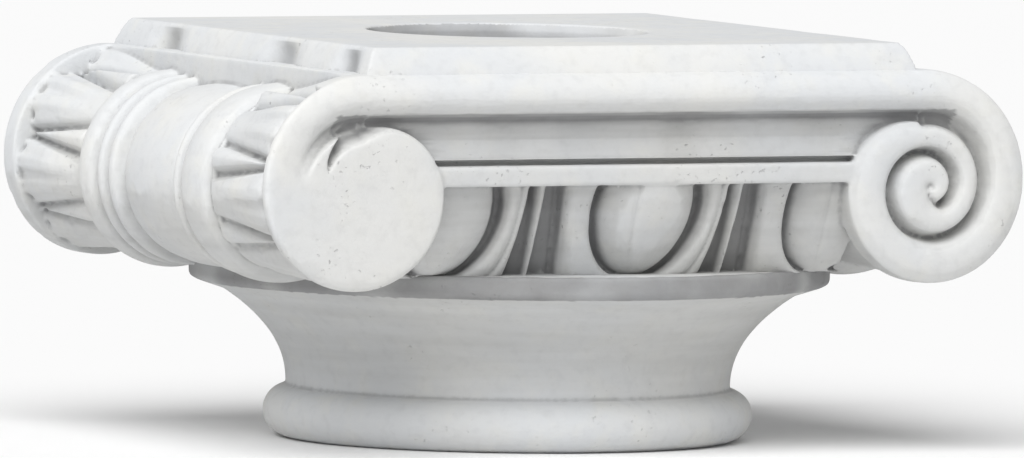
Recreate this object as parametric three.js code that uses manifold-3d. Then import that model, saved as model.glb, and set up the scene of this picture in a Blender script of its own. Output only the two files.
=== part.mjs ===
// Ionic capital, cut as one block of pale stone: a round neck on an astragal, a fillet disc,
// an egg and dart moulding, a channel with a roll between two pairs of volutes, a banded
// bolster on each side, and a square abacus with a shallow round recess on top.
// Millimetres, +Z up. The origin is the centre of the underside, the front faces -Y,
// and the bolsters lie along Y at the left (-X) and the right (+X).

import * as THREE from 'three';
import { mergeVertices } from 'three/addons/utils/BufferGeometryUtils.js';
import Module from 'manifold-3d';

const wasm = await Module();
wasm.setup();

// Driving dimensions

// Neck, astragal and fillet disc
const waistRadius = 152.5;
const astragalHeight = 35.6;
const astragalProjection = 15.5;
const neckHeight = 66;
const neckFlare = 45;
const cavettoPower = 2.25;
const soffitRise = 6;
const filletRadius = 220;
const filletHeight = 16;
const filletEdgeRound = 3;

// Egg and dart moulding between the volutes
const echinusHeight = 62;
const echinusFrontRadius = 1200;
const faceDepth = 218.6;
const echinusSetback = 4.6;
const echinusProjection = faceDepth - echinusSetback;
const echinusLean = 22;
const eggPitch = 140;
const eggHalfWidth = 29;
const eggRelief = 15;
const frameOuterHalfWidth = 54;
const frameRelief = 10;
const frameDrawIn = 8;
const dartHalfWidth = 6.5;
const dartRelief = 9;
const carvedGroove = 3;
const eggsAcross = 3;
const eggRows = 6;

// Straight band, channel and roll above the eggs
const bandHeight = 14;
const bandSetback = 3.6;
const quirkHeight = 4;
const quirkDepth = 11;
const channelHeight = 28.5;
const channelDepth = 15;
const rollHeight = 30;
const rollDepth = 14;
const rollSetback = 0.8;
const rollShoulder = 4;

// Volutes
const eyeSpacing = 426.4;
const voluteTopRadius = 80;
const voluteRimFall = 34;
const voluteRimSlowing = 12;
const plateThickness = 24;
const plateRound = 6;
const grooveStartRadius = 48.2;
const grooveFallPerTurn = 26.4;
const grooveSlowing = 2.7;
const grooveStartTurn = -0.04;
const grooveEndTurn = 1.38;
const grooveHalfWidth = 4.6;
const grooveDepth = 11;
const coilEdgePower = 1.4;
const crescentStartRadius = 45;
const crescentFallPerTurn = 85;
const crescentEndTurn = 0.14;

// Bolsters
const beltRadius = 62.5;
const beltHalfWidth = 40;
const beltSwell = 2.5;
const filletRingWidth = 6;
const smallRingWidth = 14;
const smallRingRadius = 65;
const wideRingWidth = 43;
const wideRingRadius = 67;
const ringGrooveWidth = 4;
const ringGrooveDepth = 4.5;
const leafRootRadius = 58;
const leafRelief = 9;
const leavesRound = 12;
const leafTipGap = 0.25;
const bolsterSegments = 2 * leavesRound;

// Abacus
const abacusSide = 397;
const abacusHeight = 29;
const abacusSpread = 10;
const abacusSeat = 6;
const abacusSkirt = 10;
const hollowDepth = 7;
const hollowPlaces = [115, -61, -161];
const hollowHalfWidths = [28, 26, 18];
const recessRadius = 98;
const recessDepth = 9;
const recessTaper = 2;
const recessOffset = -4;

// Fineness, and how far the joined forms run into each other
const roundSegments = 48;
const jointOverlap = 2.5;

// Heights worked out from the sizes above
const neckTop = astragalHeight + neckHeight;
const filletBottom = neckTop + soffitRise;
const filletTop = filletBottom + filletHeight;
const echinusTop = filletTop + echinusHeight;
const bandTop = echinusTop + bandHeight;
const channelBottom = bandTop + quirkHeight;
const rollBottom = channelBottom + channelHeight;
const rollTop = rollBottom + rollHeight;
const eyeHeight = rollTop - voluteTopRadius;
const abacusBottom = eyeHeight + beltRadius + abacusSeat;
const capitalHeight = abacusBottom + abacusHeight;
const eyeOffset = eyeSpacing / 2;

// Merges the shared vertices of a closed mesh and hands it over as a solid
function solid(geometry) {
  const plain = geometry.index ? geometry.toNonIndexed() : geometry.clone();
  plain.deleteAttribute('normal');
  plain.deleteAttribute('uv');
  const merged = mergeVertices(plain, 1e-4);
  const mesh = new wasm.Mesh({
    numProp: 3,
    vertProperties: new Float32Array(merged.attributes.position.array),
    triVerts: new Uint32Array(merged.index.array),
  });
  mesh.merge();
  return new wasm.Manifold(mesh);
}

// Skins a row of closed sections that hold the same number of points, and caps both ends
function loft(sections) {
  const count = sections[0].length;
  const positions = [];
  const put = (...points) => points.forEach((point) => positions.push(point.x, point.y, point.z));
  for (let i = 0; i < sections.length - 1; i += 1) {
    for (let j = 0; j < count; j += 1) {
      const next = (j + 1) % count;
      put(sections[i][j], sections[i][next], sections[i + 1][next]);
      put(sections[i][j], sections[i + 1][next], sections[i + 1][j]);
    }
  }
  const middle = (section) => section
    .reduce((sum, point) => sum.add(point), new THREE.Vector3())
    .divideScalar(count);
  const first = sections[0];
  const last = sections[sections.length - 1];
  const firstMiddle = middle(first);
  const lastMiddle = middle(last);
  for (let j = 0; j < count; j += 1) {
    const next = (j + 1) % count;
    put(first[next], first[j], firstMiddle);
    put(last[j], last[next], lastMiddle);
  }
  const geometry = new THREE.BufferGeometry();
  geometry.setAttribute('position', new THREE.Float32BufferAttribute(positions, 3));
  return solid(geometry);
}

// Points of an arc of an ellipse in a profile plane, from one angle to another in degrees
function arc(centre, radii, fromAngle, toAngle, steps) {
  const points = [];
  for (let i = 0; i <= steps; i += 1) {
    const angle = THREE.MathUtils.degToRad(fromAngle + ((toAngle - fromAngle) * i) / steps);
    points.push(new THREE.Vector2(
      centre.x + radii.x * Math.cos(angle),
      centre.y + radii.y * Math.sin(angle),
    ));
  }
  return points;
}

// Turns a lathe profile about the upright axis
function turned(profile) {
  const geometry = new THREE.LatheGeometry(profile, roundSegments);
  geometry.rotateX(Math.PI / 2);
  return solid(geometry);
}

// Astragal, neck and fillet disc in one turned profile
function roundBody() {
  const astragalRound = astragalHeight / 2;
  const centre = new THREE.Vector2(waistRadius + astragalProjection - astragalRound, astragalRound);
  const profile = [new THREE.Vector2(0, 0)];
  profile.push(...arc(centre, new THREE.Vector2(astragalRound, astragalRound), -90, 78, 6));
  const neckSteps = 6;
  for (let i = 0; i <= neckSteps; i += 1) {
    const rise = i / neckSteps;
    profile.push(new THREE.Vector2(
      waistRadius + neckFlare * rise ** cavettoPower,
      astragalHeight + neckHeight * rise,
    ));
  }
  profile.push(new THREE.Vector2(filletRadius - filletEdgeRound, filletBottom));
  profile.push(new THREE.Vector2(filletRadius, filletBottom + filletEdgeRound));
  profile.push(new THREE.Vector2(filletRadius, filletTop));
  profile.push(new THREE.Vector2(0, filletTop));
  return turned(profile);
}

// Half of one pitch of the moulding, from the middle of an egg to the middle of a dart, at a
// share of its height: distances along the front, each with its relief
function eggToDart(share) {
  const eggMiddle = 0.6;
  const eggReach = 0.6;
  const swell = Math.sqrt(Math.max(0.01, 1 - ((share - eggMiddle) / eggReach) ** 2));
  const eggWidth = eggHalfWidth * swell;
  const frameInner = eggWidth + 2 * carvedGroove;
  const frameOuter = frameOuterHalfWidth - frameDrawIn * (1 - share) ** 2;
  const frameMiddle = (frameInner + frameOuter) / 2;
  const halfPitch = eggPitch / 2;
  const dartWidth = dartHalfWidth * (0.4 + 0.6 * share);
  const egg = [0, 0.4, 0.75, 0.95].map((part) => [
    eggWidth * part, eggRelief * swell * Math.sqrt(1 - part ** 2),
  ]);
  return [
    ...egg,
    [eggWidth + carvedGroove, 0],
    [frameInner, 0.7 * frameRelief],
    [frameMiddle, frameRelief],
    [frameOuter, 0.8 * frameRelief],
    [frameOuter + carvedGroove, 0],
    [halfPitch - dartWidth, 0],
    [halfPitch, dartRelief],
  ];
}

// Relief of the whole front at one level, mirrored about each egg and each dart
function frontRelief(share) {
  const half = eggToDart(share);
  const points = [];
  for (let egg = 0; egg < eggsAcross; egg += 1) {
    const middle = (egg - (eggsAcross - 1) / 2) * eggPitch;
    const before = half.slice().reverse().map(([away, relief]) => [middle - away, relief]);
    const after = half.slice(1).map(([away, relief]) => [middle + away, relief]);
    points.push(...(egg === 0 ? before : before.slice(1)), ...after);
  }
  return points;
}

// Front or back plan curve of the moulding at one level
function echinusCurve(share, side) {
  const ovolo = -eggRelief - echinusLean * (1 - share) ** 1.6;
  const points = frontRelief(share).map(([along, relief]) => {
    const angle = along / echinusFrontRadius;
    const radius = echinusFrontRadius + ovolo + relief;
    const depth = echinusProjection - echinusFrontRadius + radius * Math.cos(angle);
    return new THREE.Vector2(side * radius * Math.sin(angle), -side * depth);
  });
  const end = eyeOffset - jointOverlap;
  return [
    new THREE.Vector2(-side * end, points[0].y), ...points,
    new THREE.Vector2(side * end, points[points.length - 1].y),
  ];
}

function echinus() {
  const sections = [];
  for (let row = 0; row <= eggRows; row += 1) {
    const share = row / eggRows;
    const height = filletTop - 1 + (echinusHeight + 2) * share;
    const outline = [...echinusCurve(share, 1), ...echinusCurve(share, -1)];
    sections.push(outline.map((point) => new THREE.Vector3(point.x, point.y, height)));
  }
  return loft(sections);
}

// Section of the straight front in depth and height, from the band up to the roll
function frontProfile() {
  const bandFace = faceDepth - bandSetback;
  const channelFace = bandFace - quirkDepth;
  const rollBack = faceDepth - rollSetback - rollDepth;
  const channelMiddle = new THREE.Vector2(channelFace + 3, (channelBottom + rollBottom) / 2);
  const channelHollow = new THREE.Vector2(channelDepth - quirkDepth + 3, channelHeight / 2);
  const rollMiddle = new THREE.Vector2(rollBack, (rollBottom + rollTop) / 2);
  return [
    new THREE.Vector2(bandFace - 1.5, echinusTop),
    new THREE.Vector2(bandFace, echinusTop + 1.5),
    new THREE.Vector2(bandFace, bandTop - 1.5),
    new THREE.Vector2(bandFace - 1.5, bandTop),
    new THREE.Vector2(channelFace, bandTop + 1),
    new THREE.Vector2(channelFace, channelBottom - 1),
    ...arc(channelMiddle, channelHollow, -90, -270, 6).slice(0, -1),
    ...arc(rollMiddle, new THREE.Vector2(rollDepth, rollHeight / 2), -80, 80, 8),
    new THREE.Vector2(rollBack - rollShoulder, rollTop),
  ];
}

// Straight block between the volutes, with the same profile at the front and the back
function channelBlock() {
  const front = frontProfile();
  const outline = [
    ...front.map((point) => new THREE.Vector2(-point.x, point.y)),
    ...front.slice().reverse(),
  ];
  const section = (x) => outline.map((point) => new THREE.Vector3(x, point.x, point.y));
  const halfLength = eyeOffset + jointOverlap;
  return loft([section(halfLength), section(-halfLength)]);
}

// Radius of a volute's rim and of its groove after a number of turns from the top
function rimRadius(turns) {
  return voluteTopRadius - voluteRimFall * turns + voluteRimSlowing * turns ** 2;
}

function grooveRadius(turns) {
  return grooveStartRadius - grooveFallPerTurn * turns + grooveSlowing * turns ** 2;
}

// Point in a volute's face plane: turned outward from the top about the eye
function onVolute(radius, turns) {
  const angle = 2 * Math.PI * turns;
  return new THREE.Vector2(radius * Math.sin(angle), radius * Math.cos(angle));
}

// Outline of a volute plate, drawn in by an inset: a start under the roll, the rim for three
// quarters of a turn, then the inner coil's edge running in under the channel
function voluteOutline(inset) {
  const rimSteps = 21;
  const coilSteps = 5;
  const rimTurns = 0.75;
  const coilEndTurn = 0.96;
  const points = [new THREE.Vector2(-2 * plateRound, voluteTopRadius - inset)];
  for (let i = 0; i <= rimSteps; i += 1) {
    const turns = (rimTurns * i) / rimSteps;
    points.push(onVolute(rimRadius(turns) - inset, turns));
  }
  const coilStart = rimRadius(rimTurns);
  const coilEnd = grooveRadius(0) - grooveHalfWidth;
  for (let i = 1; i <= coilSteps; i += 1) {
    const share = i / coilSteps;
    const radius = coilStart + (coilEnd - coilStart) * share ** coilEdgePower;
    points.push(onVolute(radius - inset, rimTurns + (coilEndTurn - rimTurns) * share));
  }
  return points;
}

// Channel cutter that follows a spiral on the face, as deep as it is asked to be
function grooveCutter(radiusAt, startTurn, endTurn, halfWidth, depth) {
  const steps = Math.ceil((endTurn - startTurn) * 24);
  const sections = [];
  for (let i = 0; i <= steps; i += 1) {
    const share = i / steps;
    const turns = startTurn + (endTurn - startTurn) * share;
    const fade = Math.min(1, 0.35 + 4 * Math.min(share, 1 - share));
    const radius = radiusAt(turns);
    const reach = halfWidth * fade;
    const ring = [
      [radius - reach, depth * fade * 0.45],
      [radius, depth * fade],
      [radius + reach, depth * fade * 0.45],
      [radius + reach * 1.6, -plateRound],
      [radius - reach * 1.6, -plateRound],
    ];
    sections.push(ring.map(([r, inward]) => {
      const point = onVolute(r, turns);
      return new THREE.Vector3(point.x, inward, point.y);
    }));
  }
  return loft(sections);
}

// Volute at the right of a face that looks along -Y, with its eye on the axis x = z = 0. A bare
// one keeps only the start of the groove, a short crescent under the roll
function frontRightVolute(bare) {
  const round = plateRound;
  const back = plateThickness + jointOverlap;
  const levels = [[0, round], [0.3 * round, 0.3 * round], [round, 0], [back, 0]];
  const plate = loft(levels.map(([inward, inset]) => voluteOutline(inset)
    .map((point) => new THREE.Vector3(point.x, inward, point.y))));
  const crescent = (turns) => crescentStartRadius - crescentFallPerTurn * turns;
  const radiusAt = bare ? crescent : grooveRadius;
  const endTurn = bare ? crescentEndTurn : grooveEndTurn;
  const groove = grooveCutter(radiusAt, grooveStartTurn, endTurn, grooveHalfWidth, grooveDepth);
  return plate.subtract(groove);
}

// The four volutes; the front left one is the bare disc
function volutes() {
  const placed = [];
  for (const front of [1, -1]) {
    for (const right of [1, -1]) {
      const bare = front === 1 && right === -1;
      let volute = frontRightVolute(bare);
      if (right === -1) {
        volute = volute.mirror([1, 0, 0]);
      }
      if (front === -1) {
        volute = volute.mirror([0, 1, 0]);
      }
      placed.push(volute.translate([right * eyeOffset, -front * faceDepth, eyeHeight]));
    }
  }
  return placed;
}

// Radius of a bolster at a distance from its middle and an angle round it
function bolsterRadius(away, angle) {
  const rings = [
    [filletRingWidth, (beltRadius + smallRingRadius) / 2, 0.5],
    [smallRingWidth, smallRingRadius, ringGrooveDepth],
    [wideRingWidth, wideRingRadius, ringGrooveDepth],
  ];
  if (away <= beltHalfWidth) {
    return beltRadius + beltSwell * Math.sqrt(1 - (away / beltHalfWidth) ** 2);
  }
  let start = beltHalfWidth;
  for (const [width, radius, sink] of rings) {
    if (away <= start + width) {
      const across = (2 * (away - start)) / width - 1;
      return radius - sink * across ** 4;
    }
    start += width;
  }
  const leafStart = start + ringGrooveWidth;
  if (away <= leafStart) {
    return leafRootRadius;
  }
  const leafEnd = faceDepth - plateThickness;
  const share = (away - leafStart) / (leafEnd - leafStart);
  const lobe = Math.abs(Math.cos((angle * leavesRound) / 2));
  const reach = 1 - leafTipGap * (1 - lobe);
  const rise = Math.sqrt(Math.max(0, 1 - Math.abs((2 * share) / reach - 1) ** 4));
  return leafRootRadius + leafRelief * (0.25 + 0.75 * lobe) * rise;
}

// Distances from the middle at which a bolster's sections lie, each change of profile among them
function bolsterStations() {
  const ringEdges = [beltHalfWidth];
  for (const width of [filletRingWidth, smallRingWidth, wideRingWidth, ringGrooveWidth]) {
    ringEdges.push(ringEdges[ringEdges.length - 1] + width);
  }
  const stations = [0, beltHalfWidth * 0.6, beltHalfWidth * 0.9];
  ringEdges.slice(0, 3).forEach((edge, i) => {
    const width = ringEdges[i + 1] - edge;
    stations.push(edge + 0.1);
    const inner = i === 0 ? [] : [0.2, 0.5, 0.8];
    inner.forEach((share) => stations.push(edge + width * share));
  });
  stations.push(ringEdges[3] - 0.1, ringEdges[3] + ringGrooveWidth / 2);
  const leafStart = ringEdges[4];
  const leafEnd = faceDepth - plateThickness;
  const leafSteps = 4;
  for (let i = 0; i <= leafSteps; i += 1) {
    stations.push(leafStart + ((leafEnd - leafStart) * i) / leafSteps);
  }
  return stations;
}

function bolster(side) {
  const half = bolsterStations();
  const end = faceDepth - plateRound;
  const stations = [
    -end, ...half.slice(1).reverse().map((away) => -away), ...half, end,
  ];
  const sections = stations.map((y) => {
    const ring = [];
    for (let i = 0; i < bolsterSegments; i += 1) {
      const angle = (2 * Math.PI * i) / bolsterSegments;
      const away = Math.min(Math.abs(y), faceDepth - plateThickness);
      const radius = bolsterRadius(away, angle);
      ring.push(new THREE.Vector3(
        side * (eyeOffset + radius * Math.cos(angle)),
        y,
        eyeHeight + radius * Math.sin(angle),
      ));
    }
    return side > 0 ? ring.reverse() : ring;
  });
  return loft(sections);
}

// How far the abacus's side face sinks at a place along it
function sideHollow(y) {
  let sink = 0;
  hollowPlaces.forEach((place, i) => {
    const share = Math.min(1, Math.abs(y - place) / hollowHalfWidths[i]);
    sink = Math.max(sink, hollowDepth * (0.5 + 0.5 * Math.cos(Math.PI * share)));
  });
  return sink;
}

function abacus() {
  const levels = [-abacusSkirt / abacusHeight, 0, 0.35, 0.62, 0.85, 0.95, 1];
  const steps = 22;
  const sections = levels.map((level) => {
    const share = Math.max(0, level);
    const half = abacusSide / 2 + abacusSpread * (1 - share ** 1.8);
    const hollowShare = Math.sin(Math.PI * Math.min(1, Math.max(0, 1.15 * share))) ** 0.5;
    const height = abacusBottom + abacusHeight * level;
    const outline = [];
    for (let i = 0; i <= steps; i += 1) {
      const y = -half + (2 * half * i) / steps;
      outline.push(new THREE.Vector3(half - sideHollow(y) * hollowShare, y, height));
    }
    for (let i = steps; i >= 0; i -= 1) {
      const y = -half + (2 * half * i) / steps;
      outline.push(new THREE.Vector3(-half + sideHollow(y) * hollowShare, y, height));
    }
    return outline;
  });
  const recess = new THREE.CylinderGeometry(
    recessRadius + recessTaper, recessRadius - recessTaper, 2 * recessDepth, 40,
  );
  recess.rotateX(Math.PI / 2);
  recess.translate(recessOffset, 0, capitalHeight);
  return loft(sections).subtract(solid(recess));
}

// Joins everything into the one stone
function capitalSolid() {
  const pieces = [
    roundBody(), echinus(), channelBlock(), ...volutes(), bolster(1), bolster(-1), abacus(),
  ];
  return pieces.reduce((joined, piece) => joined.add(piece));
}

function toGeometry(manifold) {
  const mesh = manifold.getMesh();
  const geometry = new THREE.BufferGeometry();
  geometry.setAttribute('position', new THREE.BufferAttribute(mesh.vertProperties, 3));
  geometry.setIndex(new THREE.BufferAttribute(mesh.triVerts, 1));
  geometry.computeVertexNormals();
  return geometry;
}

const stone = new THREE.MeshStandardMaterial({ color: 0xd6d6d2, roughness: 0.85, metalness: 0 });
const capital = new THREE.Mesh(toGeometry(capitalSolid()), stone);
capital.name = 'capital';

const model = new THREE.Group();
model.add(capital);
export default model;
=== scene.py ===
# %% [markdown]
# An ionic capital in pale weathered stone
#
# A capital is the carved block between a column's shaft and the beam. This one is a single
# stone: a round neck, a row of eggs and darts, a channel that rolls up into a volute at each
# end, a leafy bolster along each side and a square slab, the abacus, on top.
#
# The lesson builds it as a carver would think of it. Each moulding is first made cleanly as its
# own closed form, the forms are then fused into one skin, and last the skin is worn, pitted and
# stained. The solid model gives the frame, and nothing here moves or resizes it.

# %% Load the frame
import math

import bmesh
import bpy
import numpy as np
from mathutils import Matrix, Vector
from mathutils.bvhtree import BVHTree


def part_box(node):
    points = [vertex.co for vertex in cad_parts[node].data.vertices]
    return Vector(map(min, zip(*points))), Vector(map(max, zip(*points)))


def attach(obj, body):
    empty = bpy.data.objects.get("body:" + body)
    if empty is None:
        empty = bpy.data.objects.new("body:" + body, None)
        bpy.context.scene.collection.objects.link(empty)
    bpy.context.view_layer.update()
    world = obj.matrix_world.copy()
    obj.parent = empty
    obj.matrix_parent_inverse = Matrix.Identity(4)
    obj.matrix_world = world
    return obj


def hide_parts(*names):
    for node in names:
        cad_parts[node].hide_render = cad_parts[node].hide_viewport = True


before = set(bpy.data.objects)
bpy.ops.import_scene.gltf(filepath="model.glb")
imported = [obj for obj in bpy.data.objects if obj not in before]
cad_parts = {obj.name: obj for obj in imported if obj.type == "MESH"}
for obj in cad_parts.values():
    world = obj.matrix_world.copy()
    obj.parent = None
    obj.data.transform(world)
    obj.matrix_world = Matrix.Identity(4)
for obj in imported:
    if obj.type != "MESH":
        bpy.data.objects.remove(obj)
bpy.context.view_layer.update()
low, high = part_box("capital")
CAPITAL_HEIGHT = high[2] - low[2]
print("capital box in metres:", [round(h - l, 4) for l, h in zip(low, high)])

# %% [markdown]
# Sizes
#
# The sizes are those of the solid, in millimetres, turned to metres in one place. Heights run
# up from the underside in the order in which the mouldings sit on each other, so that each
# moulding starts where the last one ends.

# %% Sizes of the mouldings
MM = 0.001
WAIST_RADIUS = 152.5 * MM
ASTRAGAL_HEIGHT = 35.6 * MM
ASTRAGAL_PROJECTION = 15.5 * MM
NECK_HEIGHT = 66 * MM
NECK_FLARE = 45 * MM
CAVETTO_POWER = 2.25
SOFFIT_RISE = 6 * MM
FILLET_RADIUS = 220 * MM
FILLET_HEIGHT = 16 * MM
ECHINUS_HEIGHT = 62 * MM
BAND_HEIGHT = 14 * MM
QUIRK_HEIGHT = 4.5 * MM
CHANNEL_HEIGHT = 28 * MM
ROLL_HEIGHT = 30 * MM

NECK_TOP = ASTRAGAL_HEIGHT + NECK_HEIGHT
FILLET_BOTTOM = NECK_TOP + SOFFIT_RISE
FILLET_TOP = FILLET_BOTTOM + FILLET_HEIGHT
ECHINUS_TOP = FILLET_TOP + ECHINUS_HEIGHT
BAND_TOP = ECHINUS_TOP + BAND_HEIGHT
CHANNEL_BOTTOM = BAND_TOP + QUIRK_HEIGHT
ROLL_BOTTOM = CHANNEL_BOTTOM + CHANNEL_HEIGHT
ROLL_TOP = ROLL_BOTTOM + ROLL_HEIGHT

FACE_DEPTH = 218.6 * MM
EYE_OFFSET = 213.2 * MM
VOLUTE_TOP_RADIUS = 80 * MM
EYE_HEIGHT = ROLL_TOP - VOLUTE_TOP_RADIUS
print("roll top at", round(ROLL_TOP, 4), "eye at", round(EYE_HEIGHT, 4), "of", round(CAPITAL_HEIGHT, 4))

# %% [markdown]
# Closed forms from rings of points
#
# Most of the mouldings are skins over a row of rings: rings round the upright axis for the
# neck, rings round the bolster's axis for the bolster, level outlines for the abacus. One
# helper skins such a row and closes both ends, so every form is watertight from the start.

# %% Skin a row of rings
def skin_rings(name, rings):
    """Closed mesh object over rings of equal count; rings is an array (rows, points, 3)."""
    rings = np.asarray(rings, dtype=float)
    rows, count, _ = rings.shape
    points = rings.reshape(-1, 3)
    start = np.arange(rows - 1)[:, None] * count
    here = np.arange(count)[None, :]
    after = (np.arange(count)[None, :] + 1) % count
    quads = np.stack(
        [start + here, start + after, start + count + after, start + count + here], axis=-1
    ).reshape(-1, 4)
    first_middle = rings[0].mean(axis=0)
    last_middle = rings[-1].mean(axis=0)
    points = np.vstack([points, first_middle, last_middle])
    first_index = rows * count
    last_index = first_index + 1
    last_start = (rows - 1) * count
    faces = [tuple(int(v) for v in quad) for quad in quads]
    for i in range(count):
        j = (i + 1) % count
        faces.append((j, i, first_index))
        faces.append((last_start + i, last_start + j, last_index))
    mesh = bpy.data.meshes.new(name)
    mesh.from_pydata([tuple(p) for p in points], [], faces)
    return face_outward(link_mesh(name, mesh))


def link_mesh(name, mesh):
    piece = bpy.data.objects.new(name, mesh)
    bpy.context.scene.collection.objects.link(piece)
    return piece


def face_outward(piece):
    """Merges doubles and turns every face outward."""
    shell = bmesh.new()
    shell.from_mesh(piece.data)
    bmesh.ops.remove_doubles(shell, verts=shell.verts, dist=1e-6)
    bmesh.ops.recalc_face_normals(shell, faces=shell.faces)
    if shell.calc_volume(signed=True) < 0:
        bmesh.ops.reverse_faces(shell, faces=shell.faces)
    shell.to_mesh(piece.data)
    shell.free()
    return piece


def report(piece):
    print(f"{piece.name}: {len(piece.data.vertices)} points, {len(piece.data.polygons)} faces")
    return piece


# %% [markdown]
# The turned neck
#
# On the real stone the neck, its round astragal and the thin disc above were turned or worked to
# a template, so one profile swept round the axis is the honest way to make them.

# %% Turned body
NECK_ROUND_STEPS = 320


def rising_profile():
    """Radius and height from the centre of the underside up to the disc's top."""
    round_radius = ASTRAGAL_HEIGHT / 2
    centre = WAIST_RADIUS + ASTRAGAL_PROJECTION - round_radius
    profile = [(centre * share, 0.0) for share in (0.02, 0.5, 0.9)]
    for angle in np.radians(np.linspace(-90, 80, 30)):
        profile.append((centre + round_radius * math.cos(angle), round_radius * (1 + math.sin(angle))))
    for rise in np.linspace(0.0, 1.0, 36):
        radius = WAIST_RADIUS + NECK_FLARE * rise**CAVETTO_POWER
        profile.append((radius, ASTRAGAL_HEIGHT + NECK_HEIGHT * rise))
    soffit_end = FILLET_RADIUS - 4 * MM
    soffit_start = WAIST_RADIUS + NECK_FLARE
    for share in (0.3, 0.7, 1.0):
        radius = soffit_start + (soffit_end - soffit_start) * share
        profile.append((radius, NECK_TOP + SOFFIT_RISE * share))
    profile.append((FILLET_RADIUS - 1 * MM, FILLET_BOTTOM + 1.5 * MM))
    profile.append((FILLET_RADIUS, FILLET_BOTTOM + 4 * MM))
    profile.append((FILLET_RADIUS, FILLET_TOP - 1.5 * MM))
    profile.append((FILLET_RADIUS - 1.5 * MM, FILLET_TOP))
    profile.append((FILLET_RADIUS * 0.6, FILLET_TOP))
    profile.append((2 * MM, FILLET_TOP))
    return profile


def turned_body():
    angles = np.linspace(0, 2 * np.pi, NECK_ROUND_STEPS, endpoint=False)
    rings = [
        np.stack([radius * np.cos(angles), radius * np.sin(angles), np.full_like(angles, height)], axis=-1)
        for radius, height in rising_profile()
    ]
    return report(skin_rings("neck", rings))


neck = turned_body()

# %% [markdown]
# Eggs and darts
#
# Under the straight band runs the egg and dart: a smooth egg in a raised frame, then a narrow
# dart, over and over. A carver cuts one unit and repeats it, and so does this step. One unit is
# a block with its carved front, and a small node tree sets the units in a row and bends the row
# to the gentle curve of the moulding.

# %% One unit of egg and dart
EGG_PITCH = 150 * MM
EGGS_ACROSS = 3
EGG_HALF_WIDTH = 37 * MM
EGG_RELIEF = 21 * MM
FRAME_OUTER_RIGHT = 60 * MM
FRAME_OUTER_LEFT = 66 * MM
FRAME_DRAW_IN = 7 * MM
FRAME_RELIEF = 16.5 * MM
FRAME_CUT = 5 * MM
FRAME_CUT_HALF = 1.9 * MM
DART_PLACE = 68.5 * MM
DART_HALF_WIDTH = 6 * MM
DART_RELIEF = 12 * MM
CARVED_GROOVE = 4.6 * MM
EGG_FACET_PLACE = -13 * MM
EGG_FACET_DEPTH = 1.3 * MM
CARVING_SLANT = 2 * MM
ECHINUS_LEAN = 26 * MM
ECHINUS_FRONT_RADIUS = 1200 * MM
ECHINUS_PROJECTION = 214 * MM
UNIT_BACK = 80 * MM
ROW_SHIFT = 8 * MM
ROW_REACH = 168 * MM


def bump_across(distance, half_width, power):
    """One at the middle, nought at the half width and beyond, with a rounded shoulder."""
    share = np.clip(np.abs(distance) / np.maximum(half_width, 1e-6), 0, 1)
    return (1 - share**power) ** (1 / power)


def egg_unit_relief(along, share):
    """Height of the carving at a distance along the front and a share of the height."""
    swell = np.sqrt(np.clip(1 - ((share - 0.72) / 0.72) ** 2, 0.012, 1))
    egg_width = EGG_HALF_WIDTH * swell
    facet = EGG_FACET_DEPTH * np.exp(-(((along - EGG_FACET_PLACE * swell) / (1.8 * MM)) ** 2))
    egg = EGG_RELIEF * swell**0.6 * bump_across(along, egg_width, 2.1) - facet
    frame_inner = egg_width + CARVED_GROOVE
    outer = np.where(along > 0, FRAME_OUTER_RIGHT, FRAME_OUTER_LEFT)
    frame_outer = outer - FRAME_DRAW_IN * (1 - share) ** 1.6
    frame_middle = (frame_inner + frame_outer) / 2
    frame_half = (frame_outer - frame_inner) / 2
    from_frame = np.abs(along) - frame_middle
    crease = 1 - 0.16 * np.exp(-(((from_frame - 0.25 * frame_half) / (2.2 * MM)) ** 2)) * (along > 0)
    frame_height = FRAME_RELIEF * bump_across(from_frame, frame_half, 3.2) * crease
    dart_width = DART_HALF_WIDTH * (0.45 + 0.55 * share)
    from_dart = np.minimum(np.abs(along - DART_PLACE), np.abs(along + EGG_PITCH - DART_PLACE))
    dart = DART_RELIEF * bump_across(from_dart, dart_width, 1.4)
    cuts = 0.0
    for line in (frame_inner, frame_outer):
        cuts = cuts + np.exp(-(((np.abs(along) - line) / FRAME_CUT_HALF) ** 2))
    return np.maximum(np.maximum(egg, frame_height), dart) - FRAME_CUT * cuts


def egg_unit():
    across = np.linspace(-EGG_PITCH / 2, EGG_PITCH / 2, 161)
    rings = []
    for share in np.linspace(0, 1, 60):
        lean = -EGG_RELIEF - ECHINUS_LEAN * (1 - share) ** 1.3
        front = ECHINUS_FRONT_RADIUS + lean + egg_unit_relief(across, share)
        height = FILLET_TOP - 2 * MM + (ECHINUS_HEIGHT + 4 * MM) * share
        slanted = across + CARVING_SLANT * (share - 0.5)
        face = np.stack([slanted, front, np.full_like(across, height)], axis=-1)
        back = face[::-1].copy()
        back[:, 1] = ECHINUS_FRONT_RADIUS - UNIT_BACK
        rings.append(np.vstack([face, back]))
    return report(skin_rings("egg_unit", rings))


unit = egg_unit()

# %% [markdown]
# A row that is bent round an axis
#
# The eggs follow a shallow arc along the front, and the leaves of a bolster stand all round a
# barrel. Both are a row of copies that is then wrapped round an axis, so one node tree makes
# both: it lays the copies along X, and reads each point's X as a distance round the axis and its
# Y as a distance from it. The tree ends in real geometry, which becomes a plain mesh.

# %% Node tree helper and the bent row
def add_node(tree, kind, settings, sockets):
    """A socket goes by its name, with _ for a space, or by its number after a letter."""
    made = tree.nodes.new(kind)
    for key, value in (settings or {}).items():
        setattr(made, key, value)
    for label, value in sockets.items():
        socket = made.inputs[int(label[1:]) if label[1:].isdigit() else label.replace("_", " ")]
        if isinstance(value, bpy.types.NodeSocket):
            tree.links.new(value, socket)
        else:
            socket.default_value = value
    return made


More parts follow.
